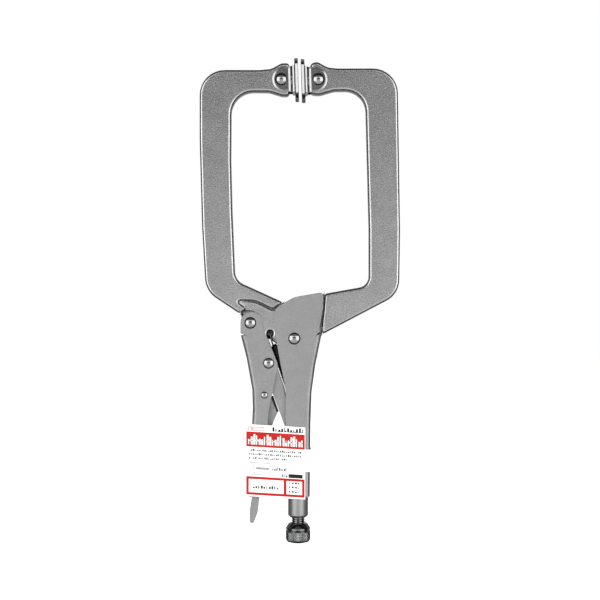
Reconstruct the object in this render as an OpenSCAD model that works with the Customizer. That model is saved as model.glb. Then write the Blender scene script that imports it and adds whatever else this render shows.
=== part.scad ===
/* [Frame] */
// Height from the knob's base to the centre of the pad rivets
rivet_z = 333; // [325:1:345]
// Distance of each pad rivet from the middle plane between the pads
rivet_offset = 13.25; // [13:0.25:14]
// Thickness of the two jaw arms
arm_t = 12; // [11.4:0.2:14]
// Radius of the outer top corners of the arms
shoulder_r = 18; // [14:1:20]

/* [Sheet and gaps] */
// Sheet thickness of both handles
sheet_t = 2.2; // [1.8:0.1:2.4]
// Free gap between the cheeks of the fixed handle
channel_gap = 10.6; // [10.4:0.1:10.8]
// Thickness of the jaw tongue and tang between the cheeks
tongue_t = 10.4; // [9:0.1:10.4]
// Free gap between the cheeks of the lever
lever_gap = 10.8; // [10.6:0.1:11]
// Sheet thickness of the lever
lever_t = 2.0; // [1.6:0.1:2]
// Outer bend radius where a cheek turns into its spine
bend_r = 3.2; // [2.6:0.1:3.6]

/* [Linkage] */
// Thickness of the toggle link
link_t = 9; // [6:0.5:10]
// Thickness of the release lever plate
release_t = 3; // [2:0.5:5]
// Radial clearance of every running pin
pin_clearance = 0.05; // [0.02:0.01:0.1]
// Shank radius of the jaw and lever rivets
pin_r = 3.2; // [2.6:0.1:3.4]
// Head radius of the jaw rivet
jaw_head_r = 4.3; // [4:0.1:5]
// Head radius of the lever rivet
lever_head_r = 4.2; // [4:0.1:5]
// Head radius of the link rivet
link_head_r = 3.9; // [3.6:0.1:4.4]
// Head radius of the release lever's rivet
release_head_r = 2.5; // [2.2:0.1:3]

/* [Pads] */
// Gap between the closed pads
pad_gap = 2.1; // [2.1:0.1:3]
// Diameter of a pad plate
pad_d = 31.4; // [29:0.2:32]
// Thickness of a pad plate
pad_t = 2.6; // [2.2:0.1:2.8]
// Distance of a pad's front and back flats from its centre
pad_flat = 12; // [11.5:0.5:13]
// Sheet thickness of a clevis
clevis_t = 1.7; // [1.4:0.1:1.8]
// Lean of both pads at rest, in degrees
pad_lean = 1.8; // [0:0.1:2]

/* [Adjusting screw] */
// Shank radius of the screw
screw_r = 5; // [4.6:0.1:5]
// Outer radius of the threaded neck
neck_r = 7.2; // [7:0.1:7.4]
// Largest radius of the knob
knob_r = 8.95; // [8:0.05:9.5]
// Height of the knob
knob_h = 14.4; // [13:0.2:16]

/* [Retail card] */
// Width of the card's front panel
card_w = 42.5; // [38:0.5:46]
// Height of the card's front panel
card_h = 51.5; // [46:0.5:54]
// Thickness of the card
card_t = 0.4; // [0.3:0.1:0.6]
// Drop of the card's upper and lower edges, from its left side to its right
card_drop = 2.5; // [0:0.1:4]

/* [Hidden] */
$fn = 64;

// Points are [x, z] seen from the front, with z = 0 at the knob's base
jaw_pivot = [-4.0, 147.3];
lever_pivot = [-35.5, 158.5];
link_pivot = [-22.4, 129.6];
release_pivot = [-25.4, 106.8];
spring_hole = [-21.4, 150.9];
spring_hole_r = 1.85;
spring_hole_floor = 4;
spring_end = [-2.8, 97];
left_rivet = [-rivet_offset, rivet_z];
right_rivet = [rivet_offset, rivet_z];
screw_x = -1.3;

channel_w = channel_gap + 2 * sheet_t;
lever_w = lever_gap + 2 * lever_t;
clevis_gap = arm_t + 0.4;
clevis_w = clevis_gap + 2 * clevis_t;
pad_back = rivet_offset - pad_gap / 2 - pad_t;
clevis_back = pad_back - clevis_t;
ear_r = 9;
ear_shift = 2.5;
tip_end = 5.8;
pad_pin_r = 3;
pad_head_r = 4.5;
release_pin_r = 1.6;
neck_z = 18.6;
neck_top = 46;
channel_end = 33.7;
screw_tip = 72;
knob_bore_z = 4;
wire_r = 0.6;
coil_r = 2.8;
eye_r = 2.2;
spring_pin_r = 1.2;
pin_head_gap = 0.06;
tongue_clear_r = 9.8;
card_left = -38.6;
card_low = 34.7;
strap_low = 52;
strap_h = 15.8;
strap_gap = 0.25;

// Outer line of each spine, from the lower end up
handle_spine = [[7.1, channel_end], [7.6, 86], [8.4, 109], [11.1, 128.5], [14.7, 146.3], [15.5, 150]];
lever_spine = [[-36.7, channel_end], [-33.8, 97], [-34.2, 111], [-38.4, 134], [-42.3, 149.5]];

// Outlines are [x, z, corner radius]; a handle's cheeks end where its spine's bends begin
cheek_outline = concat(
    [[-10.3, channel_end, 0], [-10.3, 111.2, 20], [-14.6, 132.8, 0], [-18.9, 157, 12], [-18.9, 168.5, 8]],
    [[-4, 177, 20], [17.1, 180.6, 2.5], [16.5, 168.5, 0], [14.9, 159.2, 0], [13.3, 151.6, 0]],
    [for (i = [len(handle_spine) - 1:-1:0]) [handle_spine[i].x - bend_r, handle_spine[i].y, 0]]
);
lever_outline = concat(
    [for (p = lever_spine) [p.x + bend_r, p.y, 0]],
    [[-42.5, 151.2, 0], [-42.5, 166.7, 7.8], [-26.7, 166.7, 7.8], [-26.7, 156, 8], [-15.4, 128.5, 9]],
    [[-22.2, 96, 30], [-26.8, channel_end, 3]]
);
fixed_arm_outline = [
    [rivet_offset - tip_end, 322.7, 2.5], [rivet_offset - tip_end, 344.9, 3.5], [12.6, 346, 4],
    [20, 341.9, 12], [27, 341.2, 0], [70.2, 341.3, shoulder_r], [71.3, 270, 0], [72, 225, 0],
    [71.3, 179.1, 17], [19.4, 151.9, 3], [15.9, 150.08, 0], [15.7, 159.2, 0], [16.8, 168.5, 0],
    [17.6, 179.4, 0], [49.6, 185.1, 8], [49.6, 225, 0], [48.9, 262, 0], [46.9, 325.5, shoulder_r - 3], [24.5, 325.1, 12],
    [14, 322.1, 12]
];
tang_outline = [
    [-3.4, 169.6, 0], [-2.6, 175.6, 1], [16.8, 178.6, 0], [24, 177, 0], [24, 158, 0], [17.2, 151.4, 0],
    [13, 150.2, 0], [12.2, 147.2, 0], [11.9, 145.5, 0], [9.1, 134.6, 0], [8.9, 153.6, 0]
];
moving_arm_outline = [
    [tip_end - rivet_offset, 345, 2.5], [-13.2, 345, 6], [-20.5, 340.9, 10], [-29, 340.1, 0],
    [-72, 340.2, shoulder_r], [-72, 290, 0], [-70.3, 228, 0], [-67.6, 181.2, 18], [-41.9, 164.1, 1],
    [-36, 166.8, 0], [-45.4, 174.2, 0.8], [-32.3, 174, 14], [-19.6, 167.8, 0], [-17.7, 169.1, 0],
    [-12, 173.2, 0], [-31.4, 182.1, 20], [-46.5, 188.9, 10], [-48.6, 239, 0], [-49.5, 275, 0],
    [-49.2, 324.5, shoulder_r - 2], [-22, 324.3, 14], [-12.6, 321.4, 10],
    [tip_end - rivet_offset, 321.4, 2.5]
];
tongue_outline = [
    [-50, 182, 0], [-22, 177.6, 0], [-9.5, 171.2, 8], [6.6, 152.3, 9], [3, 136.4, 9], [-10, 138.4, 9],
    [-21.4, 146.8, 6], [-33, 149.2, 10], [-41.6, 153, 7.5], [-42.2, 165.9, 0]
];
link_outline = [
    [-27.6, 135.4, 4.4], [-19.4, 136.2, 4.4], [-16.2, 126, 12], [-11, 111.1, 10], [-9, 98, 10],
    [2.7, 85, 4], [2.7, 76.2, 5.2], [-8.3, 76.2, 5.2], [-11.2, 85.2, 3], [-19.4, 107.7, 20],
    [-28.5, 127.5, 6]
];
release_outline = [
    [-31.2, 103, 3], [-28.9, 112, 4], [-23.2, 112, 3], [-20.6, 104.6, 4], [-16.2, 93.6, 1.2],
    [-19.2, 86.8, 5], [-24.6, 66, 30], [-28.7, 36, 20], [-30.4, 21.8, 10], [-33.4, 14.1, 1.2], [-36.2, 14.6, 1],
    [-36.1, 24, 10], [-34.1, 36, 10], [-31.4, 88, 20]
];

function unit(v) = v / norm(v);

// Arc of radius r that rounds corner b of the path a, b, c
function corner_arc(a, b, c, r, steps = 8) =
    r <= 0 ? [b] :
    let (
        u = unit(a - b),
        w = unit(c - b),
        half = acos(u * w) / 2,
        centre = b + unit(u + w) * r / sin(half),
        p = b + u * r / tan(half) - centre,
        q = b + w * r / tan(half) - centre,
        start = atan2(p.y, p.x),
        raw = atan2(q.y, q.x) - start,
        turn = raw > 180 ? raw - 360 : raw < -180 ? raw + 360 : raw
    )
    [for (i = [0:steps]) centre + r * [cos(start + turn * i / steps), sin(start + turn * i / steps)]];

function flat(p) = [p[0], p[1]];

function rounded(outline) =
    let (n = len(outline))
    [for (i = [0:n - 1])
        each corner_arc(
            flat(outline[(i + n - 1) % n]), flat(outline[i]), flat(outline[(i + 1) % n]), outline[i][2])];

// A flat plate that shows its outline from the front, centred on y = 0
module plate(outline, thickness) {
    rotate([90, 0, 0]) linear_extrude(thickness, center = true) polygon(rounded(outline));
}

// Moves its children to a point seen from the front
module at(point) {
    translate([point.x, 0, point.y]) children();
}

// A round bar along y, centred on y = 0
module cross_bar(point, radius, length) {
    at(point) rotate([90, 0, 0]) cylinder(h = length, r = radius, center = true);
}

module dome(radius, height) {
    ball_r = (radius * radius + height * height) / (2 * height);
    intersection() {
        translate([0, 0, height - ball_r]) sphere(ball_r);
        translate([-radius, -radius, 0]) cube([2 * radius, 2 * radius, height]);
    }
}

// A rivet along y: shank and two domed heads that start at half_span from y = 0
module rivet(point, shank_r, half_span, head_r, head_h) {
    cross_bar(point, shank_r, 2 * half_span + 0.2);
    at(point) for (side = [0, 180])
        rotate([90 + side, 0, 0]) translate([0, 0, half_span]) dome(head_r, head_h);
}

// Outer cross-section of a folded spine: x is the depth in from its outer face
module spine_section(width) {
    translate([bend_r, -width / 2]) square([1.6, width]);
    for (side = [-1, 1])
        translate([bend_r, side * (width / 2 - bend_r)]) circle(bend_r, $fn = 32);
}

// The rounded outside of a spine, from each point of its path to the next
module spine(path, width, inward) {
    slice = 0.02;
    for (i = [0:len(path) - 2])
        hull() for (end = [0, 1])
            at(path[i + end]) mirror([inward > 0 ? 0 : 1, 0, 0]) translate([0, 0, -end * slice])
                linear_extrude(slice) spine_section(width);
}

// The free space between two cheeks and in front of their spine, open above the spine's upper end
function cavity(path, thickness, inward) =
    let (
        low = path[0],
        high = path[len(path) - 1],
        reach = 60
    )
    concat(
        [[low.x + inward * reach, low.y - 5, 0], [low.x + inward * thickness, low.y - 5, 0]],
        [for (p = path) [p.x + inward * thickness, p.y, 0]],
        [[high.x - inward * reach, high.y, 0], [high.x - inward * reach, high.y + reach, 0]],
        [[low.x + inward * reach, high.y + reach, 0]]
    );

// A handle folded from one sheet: two cheeks and the spine that joins them
module folded_handle(outline, path, gap, thickness, inward) {
    width = gap + 2 * thickness;
    difference() {
        union() {
            plate(outline, width);
            spine(path, width, inward);
        }
        plate(cavity(path, thickness, inward), gap);
    }
}

module fixed_handle() {
    neck_h = neck_top - neck_z;
    chamfer = 1.4;
    color("silver") difference() {
        union() {
            folded_handle(cheek_outline, handle_spine, channel_gap, sheet_t, -1);
            at([screw_x, neck_z]) cylinder(h = chamfer, r1 = neck_r - chamfer, r2 = neck_r);
            at([screw_x, neck_z + chamfer]) cylinder(h = neck_h - chamfer, r = neck_r);
        }
        at([screw_x, neck_z - 1]) cylinder(h = neck_h + 2, r = screw_r + pin_clearance);
        cross_bar(jaw_pivot, pin_r, channel_w + 2);
    }
}

module fixed_jaw() {
    color("silver") difference() {
        union() {
            plate(fixed_arm_outline, arm_t);
            plate(tang_outline, channel_gap);
        }
        cross_bar(right_rivet, pad_pin_r, arm_t + 2);
    }
}

module moving_jaw() {
    color("silver") difference() {
        union() {
            difference() {
                plate(moving_arm_outline, arm_t);
                cross_bar(lever_pivot, tongue_clear_r, arm_t + 2);
            }
            plate(tongue_outline, tongue_t);
        }
        cross_bar(left_rivet, pad_pin_r, arm_t + 2);
        cross_bar(jaw_pivot, pin_r + pin_clearance, arm_t + 2);
        cross_bar(lever_pivot, pin_r + pin_clearance, arm_t + 2);
        translate([0, spring_hole_floor - arm_t, 0]) cross_bar(spring_hole, spring_hole_r, 2 * arm_t);
    }
}

module lever_handle() {
    color("silver") difference() {
        folded_handle(lever_outline, lever_spine, lever_gap, lever_t, 1);
        cross_bar(lever_pivot, pin_r, lever_w + 2);
        cross_bar(link_pivot, pin_r, lever_w + 2);
        cross_bar(release_pivot, release_pin_r, lever_w + 2);
    }
}

module toggle_link() {
    color("lightgray") difference() {
        plate(link_outline, link_t);
        cross_bar(link_pivot, pin_r + pin_clearance, link_t + 2);
    }
}

module release_lever() {
    color("darkgray") difference() {
        plate(release_outline, release_t);
        cross_bar(release_pivot, release_pin_r + pin_clearance, release_t + 2);
    }
}

module jaw_rivet() {
    color("gainsboro") rivet(jaw_pivot, pin_r, channel_w / 2, jaw_head_r, 1.9);
}

module lever_rivet() {
    color("gainsboro") rivet(lever_pivot, pin_r, lever_w / 2, lever_head_r, 1.9);
}

module link_rivet() {
    color("gainsboro") rivet(link_pivot, pin_r, lever_w / 2, link_head_r, 1.7);
}

module release_rivet() {
    color("gainsboro") rivet(release_pivot, release_pin_r, lever_w / 2, release_head_r, 1.2);
}

module left_pad_rivet() {
    color("gainsboro") rivet(left_rivet, pad_pin_r, clevis_w / 2 + pin_head_gap, pad_head_r, 2.2);
}

module right_pad_rivet() {
    color("gainsboro") rivet(right_rivet, pad_pin_r, clevis_w / 2 + pin_head_gap, pad_head_r, 2.2);
}

// Turns its children into the frame of a pad: origin at the rivet, +x away from the other pad
module on_pad(point, left) {
    at(point) rotate([0, -pad_lean, 0]) mirror([left ? 1 : 0, 0, 0]) children();
}

module pad_plate(point, left) {
    on_pad(point, left) intersection() {
        translate([-pad_back - pad_t, 0, 0]) rotate([0, 90, 0]) cylinder(h = pad_t, r = pad_d / 2, $fn = 96);
        cube([2 * rivet_offset, 2 * pad_flat, pad_d], center = true);
    }
}

module clevis_section() {
    translate([-pad_back, -pad_flat]) square([clevis_t, 2 * pad_flat]);
    for (side = [-1, 1])
        mirror([0, side > 0 ? 0 : 1]) {
            translate([-pad_back, clevis_gap / 2]) square([2 * ear_r + pad_back, clevis_t]);
            difference() {
                translate([-clevis_back - 0.1, clevis_w / 2 - 0.1]) square(1.5);
                translate([1.4 - clevis_back, clevis_w / 2 + 1.4]) circle(1.4);
            }
        }
}

module pad_clevis(point, left) {
    on_pad(point, left) difference() {
        intersection() {
            translate([0, 0, -ear_r - 0.4]) linear_extrude(2 * ear_r + 0.8) clevis_section();
            union() {
                cross_bar([-ear_shift, 0], ear_r, 3 * pad_flat);
                translate([-pad_back - 1, -pad_flat - 1, -ear_r])
                    cube([pad_back + 1 - ear_shift, 2 * pad_flat + 2, 2 * ear_r]);
                translate([-pad_back - 1, -pad_flat - 1, -ear_r - 0.5])
                    cube([clevis_t + 1, 2 * pad_flat + 2, 2 * ear_r + 1]);
            }
        }
        cross_bar([0, 0], pad_pin_r + pin_clearance, 3 * pad_flat);
    }
}

module left_pad_plate() {
    color("darkgray") pad_plate(left_rivet, true);
}

module left_pad_clevis() {
    color("lightgray") pad_clevis(left_rivet, true);
}

module right_pad_plate() {
    color("darkgray") pad_plate(right_rivet, false);
}

module right_pad_clevis() {
    color("lightgray") pad_clevis(right_rivet, false);
}

module spring_pin() {
    color("gray") cross_bar(spring_end, spring_pin_r, channel_gap);
}

// A straight piece of wire, with a little overlap at each end
module wire(a, b) {
    step = b - a;
    lap = wire_r * 0.7;
    translate(a) rotate([0, acos(step.z / norm(step)), atan2(step.y, step.x)])
        translate([0, 0, -lap]) cylinder(h = norm(step) + 2 * lap, r = wire_r, $fn = 24);
}

module return_spring() {
    side_y = tongue_t / 2 + 0.8;
    hook_y = spring_hole_floor - 1;
    top = [-17.95, 0, 140.9];
    eye = [spring_end.x, 0, spring_end.y];
    axis = unit(eye - top);
    coil_end = eye - axis * 3.4;
    route = [
        [spring_hole.x, hook_y, spring_hole.y], [spring_hole.x, -side_y, spring_hole.y],
        [-19.6, -side_y, 143.6], top
    ];
    color("dimgray") {
        for (i = [0:len(route) - 2])
            wire(route[i], route[i + 1]);
        translate(top) rotate([0, atan2(axis.x, axis.z), 0])
            cylinder(h = norm(coil_end - top), r = coil_r);
        translate(eye) rotate([90, 0, 0])
            rotate_extrude() translate([eye_r, 0]) circle(wire_r, $fn = 24);
        wire(coil_end - axis, eye - axis * eye_r);
    }
}

module adjusting_screw() {
    color("dimgray") at([screw_x, knob_bore_z]) {
        cylinder(h = screw_tip - knob_bore_z - 1.2, r = screw_r);
        translate([0, 0, screw_tip - knob_bore_z - 1.2]) cylinder(h = 1.2, r1 = screw_r, r2 = screw_r - 1.2);
    }
}

module adjusting_knob() {
    color("dimgray") at([screw_x, 0]) difference() {
        rotate_extrude() polygon([
            [0, 0], [4.7, 0], [7.4, 1.1], [knob_r, 4], [knob_r, knob_h - 3.6], [6.5, knob_h], [0, knob_h]
        ]);
        translate([0, 0, knob_bore_z]) cylinder(h = knob_h, r = screw_r);
    }
}

module card_panel() {
    back = channel_w / 2 + strap_gap + card_t;
    right = card_left + card_w;
    color("white") translate([0, -back - card_t / 2, 0]) plate([
        [card_left, card_low, 0], [card_left, card_low + card_h, 0],
        [right, card_low + card_h - card_drop, 0], [right, card_low - card_drop, 0]
    ], card_t);
}

module card_strap() {
    left_x = cheek_outline[0][0] - strap_gap;
    right_x = 7.4 + strap_gap;
    half_y = channel_w / 2 + strap_gap;
    color("white") translate([0, 0, strap_low]) linear_extrude(strap_h) difference() {
        translate([left_x - card_t, -half_y - card_t])
            square([right_x - left_x + 2 * card_t, 2 * (half_y + card_t)]);
        translate([left_x, -half_y]) square([right_x - left_x, 2 * half_y]);
    }
}

fixed_handle();
fixed_jaw();
jaw_rivet();
spring_pin();
right_pad_rivet();
card_panel();
card_strap();
moving_jaw();
left_pad_rivet();
return_spring();
lever_handle();
lever_rivet();
link_rivet();
release_rivet();
toggle_link();
release_lever();
left_pad_plate();
left_pad_clevis();
right_pad_plate();
right_pad_clevis();
adjusting_screw();
adjusting_knob();
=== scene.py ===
import math

import bmesh
import bpy
from mathutils import Matrix, Vector


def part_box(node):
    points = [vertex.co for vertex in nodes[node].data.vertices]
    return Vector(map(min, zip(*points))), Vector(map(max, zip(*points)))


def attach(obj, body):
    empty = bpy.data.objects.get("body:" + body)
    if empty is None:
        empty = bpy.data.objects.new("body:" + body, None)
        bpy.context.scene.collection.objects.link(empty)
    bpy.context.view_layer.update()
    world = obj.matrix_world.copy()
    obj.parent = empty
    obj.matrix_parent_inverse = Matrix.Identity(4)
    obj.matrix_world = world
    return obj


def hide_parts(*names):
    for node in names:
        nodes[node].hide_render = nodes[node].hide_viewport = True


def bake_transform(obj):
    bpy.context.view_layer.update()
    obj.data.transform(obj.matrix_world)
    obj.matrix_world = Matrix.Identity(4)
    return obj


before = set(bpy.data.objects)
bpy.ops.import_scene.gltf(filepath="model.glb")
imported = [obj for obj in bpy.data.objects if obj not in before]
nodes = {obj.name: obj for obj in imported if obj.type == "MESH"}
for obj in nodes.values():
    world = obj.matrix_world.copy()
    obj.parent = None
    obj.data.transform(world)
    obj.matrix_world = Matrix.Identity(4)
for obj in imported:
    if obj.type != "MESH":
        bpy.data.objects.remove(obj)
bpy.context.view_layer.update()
scene = bpy.context.scene
MM = 0.001


# ---------------------------------------------------------------- materials

def new_material(name):
    material = bpy.data.materials.new(name)
    material.use_nodes = True
    tree = material.node_tree
    tree.nodes.clear()
    output = tree.nodes.new("ShaderNodeOutputMaterial")
    shader = tree.nodes.new("ShaderNodeBsdfPrincipled")
    tree.links.new(shader.outputs["BSDF"], output.inputs["Surface"])
    return material, tree, shader


def add_noise(tree, scale, detail=3.0, roughness=0.55, stretch=(1, 1, 1)):
    coords = tree.nodes.new("ShaderNodeTexCoord")
    mapping = tree.nodes.new("ShaderNodeMapping")
    mapping.inputs["Scale"].default_value = stretch
    noise = tree.nodes.new("ShaderNodeTexNoise")
    noise.inputs["Scale"].default_value = scale
    noise.inputs["Detail"].default_value = detail
    noise.inputs["Roughness"].default_value = roughness
    tree.links.new(coords.outputs["Object"], mapping.inputs["Vector"])
    tree.links.new(mapping.outputs["Vector"], noise.inputs["Vector"])
    return noise.outputs["Fac"]


def add_ramp(tree, factor, stops):
    ramp = tree.nodes.new("ShaderNodeValToRGB")
    elements = ramp.color_ramp.elements
    while len(elements) < len(stops):
        elements.new(0.5)
    for element, (place, colour) in zip(elements, stops):
        element.position = place
        element.color = (*colour, 1)
    tree.links.new(factor, ramp.inputs["Fac"])
    return ramp.outputs["Color"]


def grey(value):
    return (value, value, value)


def add_bump(tree, shader, layers):
    previous = None
    for height, strength, distance in layers:
        bump = tree.nodes.new("ShaderNodeBump")
        bump.inputs["Strength"].default_value = strength
        bump.inputs["Distance"].default_value = distance
        tree.links.new(height, bump.inputs["Height"])
        if previous:
            tree.links.new(previous, bump.inputs["Normal"])
        previous = bump.outputs["Normal"]
    tree.links.new(previous, shader.inputs["Normal"])


def maths(tree, operation, first, second):
    node = tree.nodes.new("ShaderNodeMath")
    node.operation = operation
    for place, value in enumerate((first, second)):
        if isinstance(value, (int, float)):
            node.inputs[place].default_value = value
        else:
            tree.links.new(value, node.inputs[place])
    return node.outputs[0]


def steel(name, dark, light, smooth, rough, grain, wave):
    """Metal between two colours and two roughnesses, with a fine grain and a slow waviness."""
    fleck_share = 0.7
    material, tree, shader = new_material(name)
    shader.inputs["Metallic"].default_value = 1.0
    patches = add_noise(tree, 60)
    flecks = add_noise(tree, 1300, 2.0)
    mixed = maths(tree, "MULTIPLY_ADD", flecks, fleck_share)
    slow = maths(tree, "MULTIPLY", patches, 1 - fleck_share)
    tree.links.new(slow, mixed.node.inputs[2])
    colour = add_ramp(tree, mixed, [(0.38, dark), (0.62, light)])
    tree.links.new(colour, shader.inputs["Base Color"])
    gloss = add_ramp(tree, flecks, [(0.3, grey(smooth)), (0.7, grey(rough))])
    tree.links.new(gloss, shader.inputs["Roughness"])
    swell = add_noise(tree, 90, 1.0)
    add_bump(tree, shader, [(flecks, grain, 0.0001), (swell, wave, 0.0006)])
    return material


plated_steel = steel("plated_steel", (0.52, 0.52, 0.525), (0.72, 0.72, 0.72), 0.19, 0.30, 0.80, 0.06)
sheet_steel = steel("sheet_steel", (0.45, 0.45, 0.455), (0.56, 0.56, 0.56), 0.46, 0.56, 0.60, 0.06)
clevis_steel = steel("clevis_steel", (0.36, 0.36, 0.37), (0.50, 0.50, 0.50), 0.14, 0.22, 0.40, 0.05)
polished_steel = steel("polished_steel", (0.42, 0.42, 0.425), (0.50, 0.50, 0.50), 0.06, 0.12, 0.03, 0.02)
dark_steel = steel("dark_steel", (0.28, 0.28, 0.285), (0.42, 0.42, 0.42), 0.26, 0.42, 0.40, 0.05)
knob_steel = steel("knob_steel", (0.26, 0.26, 0.265), (0.36, 0.36, 0.36), 0.12, 0.20, 0.08, 0.02)
# Very dark spring steel: its own dark finish, darkened further as painted shade for the shadowed channel
# round the coil.
spring_steel_and_shade = steel("spring_steel_and_shade", (0.08, 0.08, 0.085), (0.14, 0.14, 0.14), 0.16, 0.26, 0.05, 0.02)
# Near-black steel used as painted shade: the blocks in the release gap and the jaw groove stand in for
# shadow.
painted_shade_black = steel("painted_shade_black", (0.03, 0.03, 0.03), (0.07, 0.07, 0.07), 0.40, 0.55, 0.30, 0.05)


def printed(name, dark, light, gloss):
    """Paper or ink: slow shade changes and a very fine fibre texture."""
    material, tree, shader = new_material(name)
    fibres = add_noise(tree, 1400, 4.0)
    patches = add_noise(tree, 120)
    colour = add_ramp(tree, patches, [(0.25, dark), (0.75, light)])
    tree.links.new(colour, shader.inputs["Base Color"])
    shader.inputs["Roughness"].default_value = gloss
    shader.inputs["Specular IOR Level"].default_value = 0.25
    add_bump(tree, shader, [(fibres, 0.08, 0.00005)])
    return material


paper = printed("paper", grey(0.86), grey(0.92), 0.45)
red_ink = printed("red_ink", (0.38, 0.008, 0.006), (0.48, 0.014, 0.010), 0.5)
pink_ink = printed("pink_ink", (0.62, 0.26, 0.25), (0.74, 0.36, 0.34), 0.35)
black_ink = printed("black_ink", grey(0.006), grey(0.02), 0.5)
grey_ink = printed("grey_ink", grey(0.20), grey(0.32), 0.4)


# ---------------------------------------------------------------- mesh helpers

def new_object(name, mesh, materials):
    piece = bpy.data.objects.new(name, mesh)
    scene.collection.objects.link(piece)
    for material in materials:
        mesh.materials.append(material)
    return piece


def smooth(mesh, angle=32):
    for polygon in mesh.polygons:
        polygon.use_smooth = True
    mesh.set_sharp_from_angle(angle=math.radians(angle))


def mesh_from(name, verts, faces, materials, angle=32):
    """Piece from points in millimetres."""
    mesh = bpy.data.meshes.new(name)
    mesh.from_pydata([Vector(v) * MM for v in verts], [], faces)
    bm = bmesh.new()
    bm.from_mesh(mesh)
    bmesh.ops.remove_doubles(bm, verts=bm.verts, dist=1e-7)
    bmesh.ops.dissolve_degenerate(bm, dist=1e-7, edges=bm.edges)
    bmesh.ops.recalc_face_normals(bm, faces=bm.faces)
    bm.to_mesh(mesh)
    bm.free()
    smooth(mesh, angle)
    return new_object(name, mesh, materials)


def band_faces(rings, steps, start=0):
    """Four-sided faces between neighbouring rings, each ring closed on itself."""
    faces = []
    for i in range(rings - 1):
        a = start + i * steps
        for j in range(steps):
            k = (j + 1) % steps
            faces.append((a + j, a + k, a + steps + k, a + steps + j))
    return faces


BLOCK_FACES = ((0, 1, 2, 3), (4, 7, 6, 5), (0, 4, 5, 1), (1, 5, 6, 2), (2, 6, 7, 3), (3, 7, 4, 0))


def stand_for(piece, body, slot_name, *cad_nodes):
    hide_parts(*cad_nodes)
    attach(piece, body)


def applied(piece):
    """Bakes the piece's modifiers into its mesh."""
    graph = bpy.context.evaluated_depsgraph_get()
    mesh = bpy.data.meshes.new_from_object(piece.evaluated_get(graph))
    piece.modifiers.clear()
    piece.data = mesh


def rounded_copy(node, body, width, material, slot_name, segments=4):
    """The CAD node with rolled edges, width millimetres wide, instead of sharp ones."""
    mesh = nodes[node].data.copy()
    mesh.materials.clear()
    if mesh.has_custom_normals:
        mesh.normals_split_custom_set([(0, 0, 0)] * len(mesh.loops))
    bm = bmesh.new()
    bm.from_mesh(mesh)
    bmesh.ops.remove_doubles(bm, verts=bm.verts, dist=2e-6)
    for edge in bm.edges:
        edge.smooth = True
    bmesh.ops.dissolve_limit(bm, angle_limit=math.radians(0.8), verts=bm.verts, edges=bm.edges)
    bm.to_mesh(mesh)
    bm.free()
    piece = new_object(node + "_shown", mesh, [material])
    bevel = piece.modifiers.new("edges", "BEVEL")
    bevel.width = width * MM
    bevel.segments = segments
    bevel.limit_method = "ANGLE"
    bevel.angle_limit = math.radians(34)
    bevel.use_clamp_overlap = False
    bevel.loop_slide = False
    applied(piece)
    smooth(piece.data, 38)
    weighted = piece.modifiers.new("normals", "WEIGHTED_NORMAL")
    weighted.keep_sharp = True
    applied(piece)
    stand_for(piece, body, slot_name, node)


# ---------------------------------------------------------------- jaws, handles, link

rounded_copy("fixed_jaw", "fixed_side", 2.2, plated_steel, "plated_steel")
rounded_copy("moving_jaw", "moving_side", 2.2, plated_steel, "plated_steel")
rounded_copy("fixed_handle", "fixed_side", 0.4, sheet_steel, "plated_steel")
rounded_copy("lever_handle", "lever", 0.4, sheet_steel, "plated_steel")
rounded_copy("toggle_link", "link", 0.5, sheet_steel, "plated_steel")
rounded_copy("release_lever", "release", 0.45, sheet_steel, "plated_steel")


def release_gap_painted_shade():
    """Near-black block on the release lever's edge that faces the link: painted shade for the dark gap
    between lever and link.
    """
    corners = [(-21.2, 105.6), (-19.2, 105.8), (-15.3, 94.6), (-17.4, 93.6)]
    front_y = -1.2
    back_y = 1.6
    verts = []
    for y in (front_y, back_y):
        for x, z in corners:
            verts.append((x, y, z))
    painted_gap_block = mesh_from("release_gap_painted_shade", verts, BLOCK_FACES, [painted_shade_black])
    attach(painted_gap_block, "release")


def jaw_groove_painted_shade():
    """Near-black strip in the groove where the fixed arm meets the fixed handle's cheeks: painted shade for
    the groove's shadow.
    """
    line = [(17.6, 178.6), (16.75, 168.5), (15.1, 159.2), (14.6, 155.6)]
    left = 0.15
    right = 1.75
    half_t = 5.8
    verts = []
    for x, z in line:
        for side, y in ((left, -half_t), (right, -half_t), (right, half_t), (left, half_t)):
            verts.append((x + side, y, z))
    faces = band_faces(len(line), 4)
    last = 4 * len(line) - 4
    faces += [(0, 1, 2, 3), (last, last + 1, last + 2, last + 3)]
    seam = mesh_from("jaw_groove_painted_shade", verts, faces, [painted_shade_black])
    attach(seam, "fixed_side")


release_gap_painted_shade()
jaw_groove_painted_shade()


# ---------------------------------------------------------------- pads

RIVET_X = 13.25
RIVET_Z = 333.0
PAD_LEAN = math.radians(1.8)


def pad_frame(side):
    """Turns pad points, x away from the other pad, into the row frame in millimetres."""
    flip = -1 if side == "left" else 1
    place = Matrix.Translation((flip * RIVET_X, 0, RIVET_Z)) @ Matrix.Rotation(-PAD_LEAN, 4, "Y")
    return place @ Matrix.Diagonal((flip, 1, 1, 1))


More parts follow.
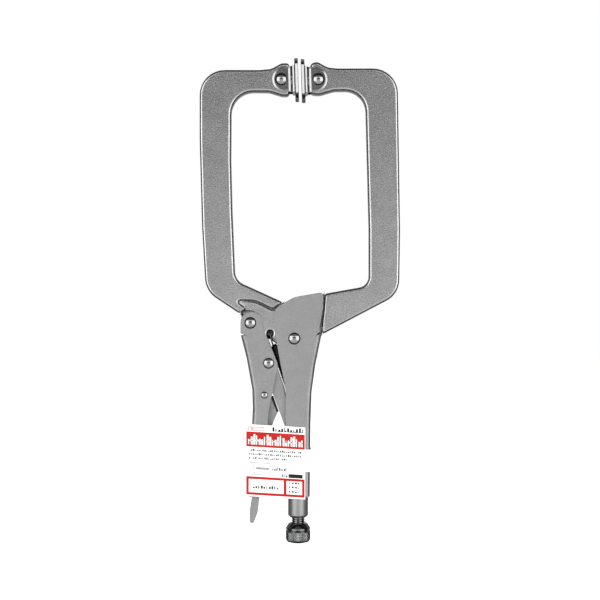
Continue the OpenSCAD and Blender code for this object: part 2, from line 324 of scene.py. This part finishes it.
def pad_plate(side):
    """Round plate with front and back flats that fall back a little from its face."""
    place = pad_frame(side)
    # Each ring is (x, share of the flats' distance, radius), from the face to the back
    rings = [(-12.2, 0.97, 15.4), (-11.9, 1.0, 15.7), (-10.2, 0.953, 15.7), (-9.6, 0.89, 15.4)]
    steps = 96
    flat_y = 12
    verts = []
    for x, flat_share, radius in rings:
        for j in range(steps):
            turn = 2 * math.pi * j / steps
            limit = flat_y * flat_share
            y = max(-limit, min(limit, radius * math.sin(turn)))
            verts.append(place @ Vector((x, y, radius * math.cos(turn))))
    faces = band_faces(len(rings), steps)
    last = (len(rings) - 1) * steps
    faces.append(tuple(range(steps)))
    faces.append(tuple(range(last, last + steps)))
    piece = mesh_from(side + "_pad_plate_shown", verts, faces, [clevis_steel], 12)
    stand_for(piece, side + "_pad", "plated_steel", side + "_pad_plate")


def pad_clevis(side):
    """Back plate with two D-shaped ears, each with a chamfered rim and a sloped root."""
    place = pad_frame(side)
    verts = []
    faces = []
    centre_x = -2.5
    ear_r = 9.0
    rim = 1.3
    rim_drop = 0.3
    rim_y = 7.48
    inner_y = 6.2
    outer_y = 7.9
    arc_steps = 14
    # Outer face of an ear from its root on the back plate to the start of its round end
    roots = [(-7.9, 10.0), (-7.2, 9.1), (-6.5, 8.4), (-5.1, outer_y), (-4.2, outer_y), (centre_x, outer_y)]
    # Back plate: (x, half depth, half height) from the pad's side to the ears' side
    base = ((-9.6, 10.9, 9.3), (-9.2, 11.9, 9.5), (-8.15, 11.55, 9.5), (-7.9, 11.1, 9.3))
    for front in (-1, 1):
        columns = []
        for x, y in roots:
            columns.append([(x, ear_r, y - rim_drop), (x, ear_r - rim, y)])
        for i in range(1, arc_steps + 1):
            turn = math.pi / 2 * i / arc_steps
            outer = (centre_x + ear_r * math.sin(turn), ear_r * math.cos(turn), rim_y)
            inside = (centre_x + (ear_r - rim) * math.sin(turn), (ear_r - rim) * math.cos(turn), outer_y)
            columns.append([outer, inside])
        start = len(verts)
        for (xo, zo, yo), (xi, zi, yi) in columns:
            ring = [
                (xo, inner_y, zo), (xo, yo, zo), (xi, yi, zi),
                (xi, yi, -zi), (xo, yo, -zo), (xo, inner_y, -zo),
            ]
            for x, y, z in ring:
                verts.append(place @ Vector((x, front * y, z)))
        faces += band_faces(len(columns), 6, start)
        faces.append(tuple(start + j for j in range(6)))
    start = len(verts)
    for x, y, z in base:
        for sy, sz in ((-1, -1), (1, -1), (1, 1), (-1, 1)):
            verts.append(place @ Vector((x, sy * y, sz * z)))
    faces += band_faces(len(base), 4, start)
    faces.append((start, start + 1, start + 2, start + 3))
    faces.append((start + 12, start + 13, start + 14, start + 15))
    piece = mesh_from(side + "_pad_clevis_shown", verts, faces, [clevis_steel], 12)
    stand_for(piece, side + "_pad", "plated_steel", side + "_pad_clevis")


for pad_side in ("left", "right"):
    pad_plate(pad_side)
    pad_clevis(pad_side)


# ---------------------------------------------------------------- rivets

def lathe(profile, steps, place):
    """Points and faces of a turned shape. profile is [(radius, height)], place(x, y, h) gives a point."""
    verts = []
    for radius, height in profile:
        for j in range(steps):
            turn = 2 * math.pi * j / steps
            verts.append(place(radius * math.cos(turn), radius * math.sin(turn), height))
    return verts, band_faces(len(profile), steps)


def dome_profile(radius, height, foot):
    """From the rim up to the crown of a rivet head whose rim stands on a small straight foot."""
    rise = height - foot
    ball = (radius * radius + rise * rise) / (2 * rise)
    reach = math.asin(radius / ball)
    rings = 14
    rim_in = 0.12
    rim_up = 0.1
    points = [(radius - rim_in, 0), (radius, rim_up)]
    for i in range(rings + 1):
        angle = reach * (1 - i / rings)
        points.append((ball * math.sin(angle), foot + rise - ball + ball * math.cos(angle)))
    return points


def rivet(node, body, head_r, head_h, pin_r):
    foot = 0.3
    low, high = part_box(node)
    centre = (low + high) / 2 / MM
    half_span = (high.y - low.y) / 2 / MM - head_h
    front = dome_profile(head_r, head_h, foot)
    profile = [(r, -half_span - h) for r, h in reversed(front)]
    profile += [(pin_r, -half_span), (pin_r, half_span)]
    profile += [(r, half_span + h) for r, h in front]
    verts, faces = lathe(profile, 48, lambda x, y, h: (centre.x + x, h, centre.z + y))
    piece = mesh_from(node + "_shown", verts, faces, [polished_steel])
    stand_for(piece, body, "polished_steel", node)


# Head radius, head height and pin radius in millimetres
rivet("jaw_rivet", "fixed_side", 4.3, 1.9, 3.1)
rivet("right_pad_rivet", "fixed_side", 4.5, 2.2, 2.9)
rivet("left_pad_rivet", "moving_side", 4.5, 2.2, 2.9)
rivet("lever_rivet", "lever", 4.2, 1.9, 3.1)
rivet("link_rivet", "lever", 3.9, 1.7, 3.1)
rivet("release_rivet", "lever", 2.5, 1.2, 1.5)


# ---------------------------------------------------------------- adjusting screw and knob

SCREW_X = -1.3
PITCH = 1.5
SCREW_LOW = 4.0
SCREW_TOP = 72.0
CREST = 4.98
ROOT = 3.95


def thread():
    """Screw thread: each row of points climbs one turn and meets the row that starts a turn higher."""
    steps = 36
    tip_chamfer = 1.2
    shape = (ROOT, ROOT + 0.1, CREST, CREST - 0.05)
    turn_rows = len(shape)
    rows = int((SCREW_TOP - SCREW_LOW) / PITCH * turn_rows) + 2 * turn_rows + 1
    verts = []
    faces = []
    for m in range(rows):
        for j in range(steps):
            z = SCREW_LOW + PITCH * ((m - turn_rows) / turn_rows + j / steps)
            z = min(max(z, SCREW_LOW), SCREW_TOP)
            tip = CREST - max(0, z - (SCREW_TOP - tip_chamfer))
            radius = min(shape[m % turn_rows], tip)
            turn = 2 * math.pi * j / steps
            verts.append((SCREW_X + radius * math.cos(turn), radius * math.sin(turn), z))
    for m in range(rows - 1):
        for j in range(steps - 1):
            a = m * steps + j
            faces.append((a, a + 1, a + 1 + steps, a + steps))
        if m + turn_rows + 1 < rows:
            a = m * steps + steps - 1
            b = (m + turn_rows) * steps
            faces.append((a, b, b + steps, a + steps))
    piece = mesh_from("adjusting_screw_shown", verts, faces, [knob_steel], 50)
    bm = bmesh.new()
    bm.from_mesh(piece.data)
    edges = [e for e in bm.edges if e.is_boundary]
    bmesh.ops.holes_fill(bm, edges=edges, sides=0)
    bmesh.ops.recalc_face_normals(bm, faces=bm.faces)
    bm.to_mesh(piece.data)
    bm.free()
    stand_for(piece, "screw", "dark_steel", "adjusting_screw")


def zigzag(value):
    """0 at whole numbers, 1 half way between them."""
    return 1 - abs(2 * (value % 1) - 1)


def knob():
    """Knob with a crossed knurl on its side; points are (radius, height) from its base up."""
    teeth = 32
    steps = teeth * 6
    side_r = 8.93
    groove_depth = 0.42
    groove_rise = 2.2
    foot = [(0.0, 0.0), (4.4, 0.0), (5.4, 0.25), (6.3, 0.6)]
    upper = [
        (side_r, 8.4), (8.9, 8.6), (8.3, 9.4), (8.25, 9.7), (8.7, 9.9), (8.8, 10.2), (8.8, 10.7),
        (8.6, 11.1), (6.9, 13.9), (6.4, 14.3), (4.4, 14.38), (0.0, 14.38),
    ]
    knurled = []
    for i in range(37):
        height = 0.8 + 0.2 * i
        knurled.append((side_r - 2.2 * max(0, 1 - height / 3.6) ** 2.2, height))
    verts = []
    profile = foot + knurled + upper
    for radius, height in profile:
        cut = 0
        if (radius, height) in knurled:
            cut = groove_depth
        for j in range(steps):
            share = j / steps * teeth
            slope = height / groove_rise
            groove = 1 - min(zigzag(share + slope), zigzag(share - slope))
            r = radius - cut * groove
            turn = 2 * math.pi * j / steps
            verts.append((SCREW_X + r * math.cos(turn), r * math.sin(turn), height))
    faces = band_faces(len(profile), steps)
    piece = mesh_from("adjusting_knob_shown", verts, faces, [knob_steel], 25)
    stand_for(piece, "screw", "dark_steel", "adjusting_knob")


thread()
knob()


# ---------------------------------------------------------------- return spring

def tube(name, route, radius, material, sides=10):
    """A round wire along a list of points."""
    points = [Vector(p) for p in route]
    verts = []
    previous = Vector((0, 1, 0))
    for i, point in enumerate(points):
        ahead = points[min(i + 1, len(points) - 1)] - points[max(i - 1, 0)]
        ahead.normalize()
        across = previous - ahead * previous.dot(ahead)
        if across.length < 1e-4:
            across = ahead.orthogonal()
        across.normalize()
        previous = across
        other = ahead.cross(across)
        for j in range(sides):
            turn = 2 * math.pi * j / sides
            verts.append(point + radius * (math.cos(turn) * across + math.sin(turn) * other))
    faces = band_faces(len(points), sides)
    faces.append(tuple(range(sides)))
    last = (len(points) - 1) * sides
    faces.append(tuple(range(last, last + sides)))
    return mesh_from(name, verts, faces, [material], 50)


def spline(points, steps):
    """Smooth curve through the points."""
    made = []
    for i in range(len(points) - 1):
        a = Vector(points[max(i - 1, 0)])
        b = Vector(points[i])
        c = Vector(points[i + 1])
        d = Vector(points[min(i + 2, len(points) - 1)])
        for k in range(steps):
            t = k / steps
            made.append(0.5 * (
                2 * b + (c - a) * t + (2 * a - 5 * b + 4 * c - d) * t * t + (3 * b - a - 3 * c + d) * t ** 3
            ))
    made.append(Vector(points[-1]))
    return made


def return_spring():
    """Coil spring: a hook in the moving jaw, a narrowing neck, the coil and a ring round its pin."""
    wire_r = 0.58
    coil_mid = 2.2
    side_y = 6.0
    top = Vector((-17.95, 0, 140.9))
    eye = Vector((-2.8, 0, 97))
    axis = (eye - top).normalized()
    across = axis.cross(Vector((0, 1, 0))).normalized()
    width = Vector((0, 1, 0))
    ring_room = 3.4
    length = (eye - top).length - ring_room
    turns = 34
    hook = [
        (-21.4, 3.0, 150.9), (-21.4, 0, 150.9), (-21.4, -side_y + 1.0, 150.9), (-21.3, -side_y, 150.2),
        (-20.6, -side_y, 147.0), (-19.8, -side_y + 0.1, 144.2), (-18.9, -3.6, 142.4)
    ]
    coil = []
    steps = 16
    neck_turns = 2
    neck_length = 1.8
    for i in range(neck_turns * steps):
        share = i / (neck_turns * steps)
        turn = 2 * math.pi * i / steps
        radius = coil_mid * (0.5 + 0.5 * share)
        back = axis * (neck_length * (share - 1))
        coil.append(top + back + radius * (math.cos(turn) * across + math.sin(turn) * width))
    for i in range(turns * steps + 1):
        turn = 2 * math.pi * i / steps
        along = axis * (length * i / (turns * steps))
        coil.append(top + along + coil_mid * (math.cos(turn) * across + math.sin(turn) * width))
    ring = []
    ring_r = 2.2
    ring_steps = 20
    ring_sweep = 0.94
    for i in range(ring_steps + 1):
        turn = math.pi + 2 * math.pi * i / ring_steps * ring_sweep
        ring.append(eye + ring_r * (math.cos(turn) * axis + math.sin(turn) * across))
    lead = spline([coil[-1], coil[-1] + axis * 0.8 - across * coil_mid * 0.8, ring[0]], 5)
    route = spline([*hook, coil[0]], 5)[:-1] + coil + lead[1:-1] + ring
    spring = tube("return_spring_shown", route, wire_r, spring_steel_and_shade)
    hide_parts("return_spring")
    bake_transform(spring)


return_spring()
rounded_copy("spring_pin", "fixed_side", 0.2, dark_steel, "dark_steel")


# ---------------------------------------------------------------- retail card

CARD_LEFT = -38.6
CARD_SLOPE = 0.0594
CARD_FRONT = -8.55
INK_STEP = 0.012
INK_ROOT = 0.05


def box_points(x0, x1, z0, z1, y0, y1, slope):
    """Corners of a thin block whose upper and lower edges fall by the slope to the right."""
    points = []
    for y in (y0, y1):
        for x, z in ((x0, z0), (x1, z0), (x1, z1), (x0, z1)):
            points.append((x, y, z - slope * (x - CARD_LEFT)))
    return points


def prints(name, rows, material, level=0):
    """Printed areas, each [a0, a1, b0, b1]: mm from the card's left edge and height there."""
    verts = []
    faces = []
    raised = INK_STEP * (level + 1)
    for a0, a1, b0, b1 in rows:
        n = len(verts)
        verts += box_points(
            CARD_LEFT + a0, CARD_LEFT + a1, b0, b1, CARD_FRONT - raised, CARD_FRONT + INK_ROOT, CARD_SLOPE
        )
        for face in BLOCK_FACES:
            faces.append(tuple(n + i for i in face))
    mesh = bpy.data.meshes.new(name)
    mesh.from_pydata([Vector(v) * MM for v in verts], [], faces)
    piece = new_object(name, mesh, [material])
    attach(piece, "fixed_side")


def frame_bars(a0, a1, b0, b1, line):
    """Four bars of the given width round an area."""
    return [
        [a0, a1, b0, b0 + line], [a0, a1, b1 - line, b1],
        [a0, a0 + line, b0 + line, b1 - line], [a1 - line, a1, b0 + line, b1 - line],
    ]


def text_bars(a0, a1, base, height, seed, step):
    """A line of short bars of uneven length, in place of words."""
    bars = []
    a = a0
    count = 0
    while a < a1:
        count += 1
        wide = step * (0.35 + 0.4 * abs(math.sin(seed + 2.1 * count)))
        tall = height * (0.75 + 0.25 * math.sin(3.7 * seed + 1.3 * count))
        bars.append([a, min(a + wide, a1), base, base + tall])
        a += step
    return bars


def card():
    """Card and strap, with plain bars and boxes where the real card has print."""
    rounded_copy("card_panel", "fixed_side", 0.08, paper, "card", 1)
    rounded_copy("card_strap", "fixed_side", 0.08, paper, "card", 1)
    prints("card_band", [[0.25, 42.1, 70.3, 81.0]], red_ink)
    prints("card_frame", frame_bars(0.25, 42.0, 35.9, 49.0, 1.8) + [[27.0, 29.0, 37.7, 47.2]], red_ink)
    prints("card_tag", frame_bars(1.4, 13.3, 81.6, 84.7, 0.7) + [[3.4, 5.4, 82.4, 84]], pink_ink)
    title = text_bars(1.6, 40.5, 71.9, 7.4, 1.0, 1.9) + text_bars(2.2, 40.5, 74.4, 1.1, 3.0, 4.1)
    prints("card_title", title, paper, 1)
    marks = text_bars(19.0, 41.0, 81.9, 3.4, 2.0, 2.1) + text_bars(19.3, 40.6, 82.0, 1.0, 5.0, 1.7)
    for row, end in ((67.2, 40), (64.4, 40), (61.6, 30)):
        marks += text_bars(2.0, end, row, 1.6, row, 1.4)
    marks += text_bars(18.8, 29, 54.0, 2.6, 4.0, 1.2)
    marks += text_bars(5, 23, 40.6, 2.4, 6.0, 1.9)
    for row in (39.0, 42.2, 45.2):
        marks += text_bars(30.6, 39, row, 1.3, row, 2.2)
    prints("card_small_print", marks, black_ink)
    box = [[30.5, 40.6, 49.5, 52.2]] + text_bars(25.8, 30, 49.6, 2.4, 5, 1.3)
    prints("card_black_box", box, black_ink)
    drawing = frame_bars(2.6, 17.6, 50.3, 59.2, 0.5) + [[7.2, 16.5, 54.2, 55.9]]
    prints("card_drawing", drawing, grey_ink)
    prints("card_leaders", [[5.0, 6.0, 55.4, 56.1], [5.4, 6.4, 51.6, 52.3]], black_ink)


card()


# ---------------------------------------------------------------- stage, light, camera

def floor():
    """Pale floor below the knob's lowest place, so that it stays clear at the screw's full travel."""
    side = 4.0
    low = -0.019
    corners = [(-side, -side, low), (side, -side, low), (side, side, low), (-side, side, low)]
    mesh = bpy.data.meshes.new("floor")
    mesh.from_pydata([Vector(c) for c in corners], [], [(0, 1, 2, 3)])
    material, tree, shader = new_material("floor")
    tone = add_ramp(tree, add_noise(tree, 3), [(0.2, grey(0.90)), (0.8, grey(0.93))])
    tree.links.new(tone, shader.inputs["Base Color"])
    shader.inputs["Roughness"].default_value = 0.9
    shader.inputs["Specular IOR Level"].default_value = 0.0
    shader.inputs["Emission Color"].default_value = (1, 1, 1, 1)
    shader.inputs["Emission Strength"].default_value = 0.9
    ground = new_object("floor", mesh, [material])
    ground.visible_glossy = False


def studio():
    """White backdrop for the camera; grey room with bright strips and dark flags for reflections."""
    world = bpy.data.worlds.new("studio")
    scene.world = world
    world.use_nodes = True
    tree = world.node_tree
    tree.nodes.clear()
    coords = tree.nodes.new("ShaderNodeTexCoord")
    parts = tree.nodes.new("ShaderNodeSeparateXYZ")
    tree.links.new(coords.outputs["Generated"], parts.inputs["Vector"])
    facing = maths(tree, "MULTIPLY_ADD", parts.outputs["Y"], -0.5)
    facing.node.inputs[2].default_value = 0.5
    core = add_ramp(tree, facing, [
        (0.6, grey(0)), (0.62, grey(0.01)), (0.78, grey(0.01)), (0.93, grey(0.12)), (0.965, grey(0.58)),
        (1.0, grey(0.64)),
    ])
    behind = add_ramp(tree, facing, [
        (0.0, grey(0.6)), (0.006, grey(0.5)), (0.02, grey(0.03)), (0.07, grey(0.03)), (0.11, grey(0.28)),
        (0.26, grey(0.28)), (0.34, grey(0.01)), (0.46, grey(0.01)), (0.48, grey(0.12)), (0.52, grey(0.12)),
        (0.54, grey(0.01)), (0.6, grey(0)),
    ])
    strips = add_ramp(tree, facing, [
        (0.0, grey(0)), (0.70, grey(0)), (0.75, grey(1)), (0.935, grey(1)), (0.96, grey(0)),
    ])
    height = maths(tree, "MULTIPLY_ADD", parts.outputs["Z"], 0.5)
    height.node.inputs[2].default_value = 0.5
    core_fall = add_ramp(tree, height, [
        (0.0, grey(1.15)), (0.42, grey(1.15)), (0.5, grey(1.05)), (0.545, grey(0.66)), (0.571, grey(0.24)),
        (0.64, grey(0.14)), (1.0, grey(0.05)),
    ])
    strip_fall = add_ramp(tree, height, [
        (0.0, grey(0.5)), (0.3, grey(0.7)), (0.38, grey(2)), (0.73, grey(2)), (0.765, grey(0.25)),
        (1.0, grey(0.1)),
    ])
    core = maths(tree, "MULTIPLY_ADD", core, core_fall)
    tree.links.new(behind, core.node.inputs[2])
    room = maths(tree, "MULTIPLY_ADD", strips, strip_fall)
    tree.links.new(core, room.node.inputs[2])
    seen = tree.nodes.new("ShaderNodeLightPath").outputs["Is Camera Ray"]
    white = tree.nodes.new("ShaderNodeBackground")
    grey_room = tree.nodes.new("ShaderNodeBackground")
    tree.links.new(room, grey_room.inputs["Color"])
    mix = tree.nodes.new("ShaderNodeMixShader")
    tree.links.new(seen, mix.inputs["Fac"])
    tree.links.new(grey_room.outputs[0], mix.inputs[1])
    tree.links.new(white.outputs[0], mix.inputs[2])
    white.inputs["Color"].default_value = (1, 1, 1, 1)
    output = tree.nodes.new("ShaderNodeOutputWorld")
    tree.links.new(mix.outputs[0], output.inputs["Surface"])


def softbox(name, place, target, size, power):
    """Area lamp that reflections leave out, because the room has its own bright strips."""
    light = bpy.data.lights.new(name, "AREA")
    light.shape = "RECTANGLE"
    light.size = size[0]
    light.size_y = size[1]
    light.energy = power
    lamp = bpy.data.objects.new(name, light)
    lamp.location = place
    lamp.rotation_mode = "QUATERNION"
    lamp.rotation_quaternion = (Vector(target) - Vector(place)).to_track_quat("-Z", "Y")
    lamp.visible_glossy = False
    scene.collection.objects.link(lamp)


def camera():
    """Looks along +Y at the height of the clamp's middle."""
    distance = 1.1
    face_y = -0.006
    picture_width = 0.4302
    lens = bpy.data.cameras.new("camera")
    lens.sensor_width = 36
    lens.lens = lens.sensor_width * (distance + face_y) / picture_width
    eye = bpy.data.objects.new("camera", lens)
    eye.location = (0.0001, -distance, 0.1749)
    eye.rotation_euler = (math.radians(90), 0, 0)
    scene.collection.objects.link(eye)
    scene.camera = eye


floor()
studio()
softbox("key_left", (-0.95, -1.0, 1.35), (0, 0, 0.2), (0.55, 0.75), 14)
softbox("key_right", (0.95, -1.0, 1.35), (0, 0, 0.2), (0.55, 0.75), 14)
camera()
scene.view_settings.view_transform = "Standard"
